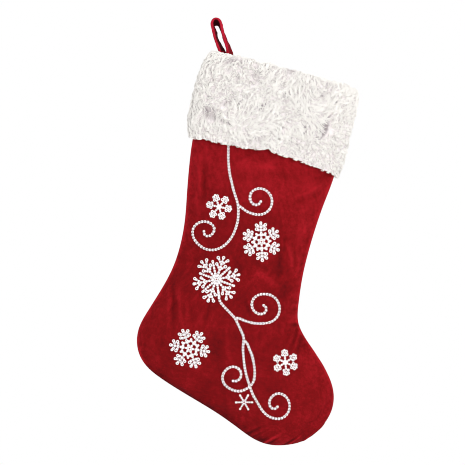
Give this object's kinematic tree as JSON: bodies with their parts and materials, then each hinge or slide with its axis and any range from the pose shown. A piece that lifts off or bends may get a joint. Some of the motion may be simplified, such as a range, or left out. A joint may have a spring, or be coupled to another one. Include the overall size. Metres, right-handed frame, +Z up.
{
  "type": "hanging christmas stocking",
  "caption": "Hanging velvet stocking with a turned-down plush cuff, a fabric hanging loop and chain-stitched scroll and snowflake embroidery.",
  "frame": {"origin": "middle of the underside of the top of the hanging loop's eye, where a hook bears", "axes": "+Z up, -Y out of the embroidered front, +X towards the toe"},
  "size_m": [0.2711, 0.0532, 0.5248],
  "materials": {
    "velvet": "cut-pile velvet, deep crimson",
    "loop_velvet": "folded velvet strip, crimson",
    "lining": "smooth woven lining",
    "interfacing": "matt non-woven",
    "plush": "curly plush, ivory",
    "red_thread": "matt sewing thread",
    "white_thread": "matt sewing thread",
    "embroidery": "chain-stitched embroidery thread"
  },
  "bodies": {
    "stocking": {"velvet_back_panel": "velvet", "lining_back_panel": "lining", "cuff_back_panel": "plush", "side_seam_thread": "red_thread", "cuff_seam_thread_heel_side": "white_thread", "cuff_seam_thread_toe_side": "white_thread", "mouth_seam_thread_back": "white_thread"},
    "front_half": {"velvet_front_panel": "velvet", "lining_front_panel": "lining", "embroidery_stabiliser": "interfacing", "cuff_front_panel": "plush", "mouth_seam_thread_front": "white_thread", "scroll_upper_main": "embroidery", "scroll_upper_branch": "embroidery", "scroll_lower_main": "embroidery", "scroll_lower_branch": "embroidery", "scroll_side_branch": "embroidery", "snowflake_small_upper": "embroidery", "snowflake_medium_upper": "embroidery", "snowflake_large": "embroidery", "snowflake_medium_heel": "embroidery", "snowflake_small_toe": "embroidery", "snowflake_mini": "embroidery"},
    "loop_tack": {"loop_bar_tack": "red_thread"},
    "loop": {"hanging_loop": "loop_velvet"}
  },
  "joints": [
    {"name": "mouth_open", "type": "hinge", "parent": "stocking", "child": "front_half", "pos_m": [0.0637, 0, -0.5185], "axis": [0.9719, 0, -0.2353], "range_deg": [0, 3.2]},
    {"name": "loop_flop", "type": "hinge", "parent": "stocking", "child": "loop_tack", "pos_m": [0.0121, 0, -0.0407], "axis": [0.9719, 0, -0.2353], "range_deg": [-40, 50]},
    {"name": "loop_lean", "type": "hinge", "parent": "loop_tack", "child": "loop", "pos_m": [0.0121, 0, -0.0407], "axis": [0, 1, 0], "range_deg": [-10, 55]}
  ]
}
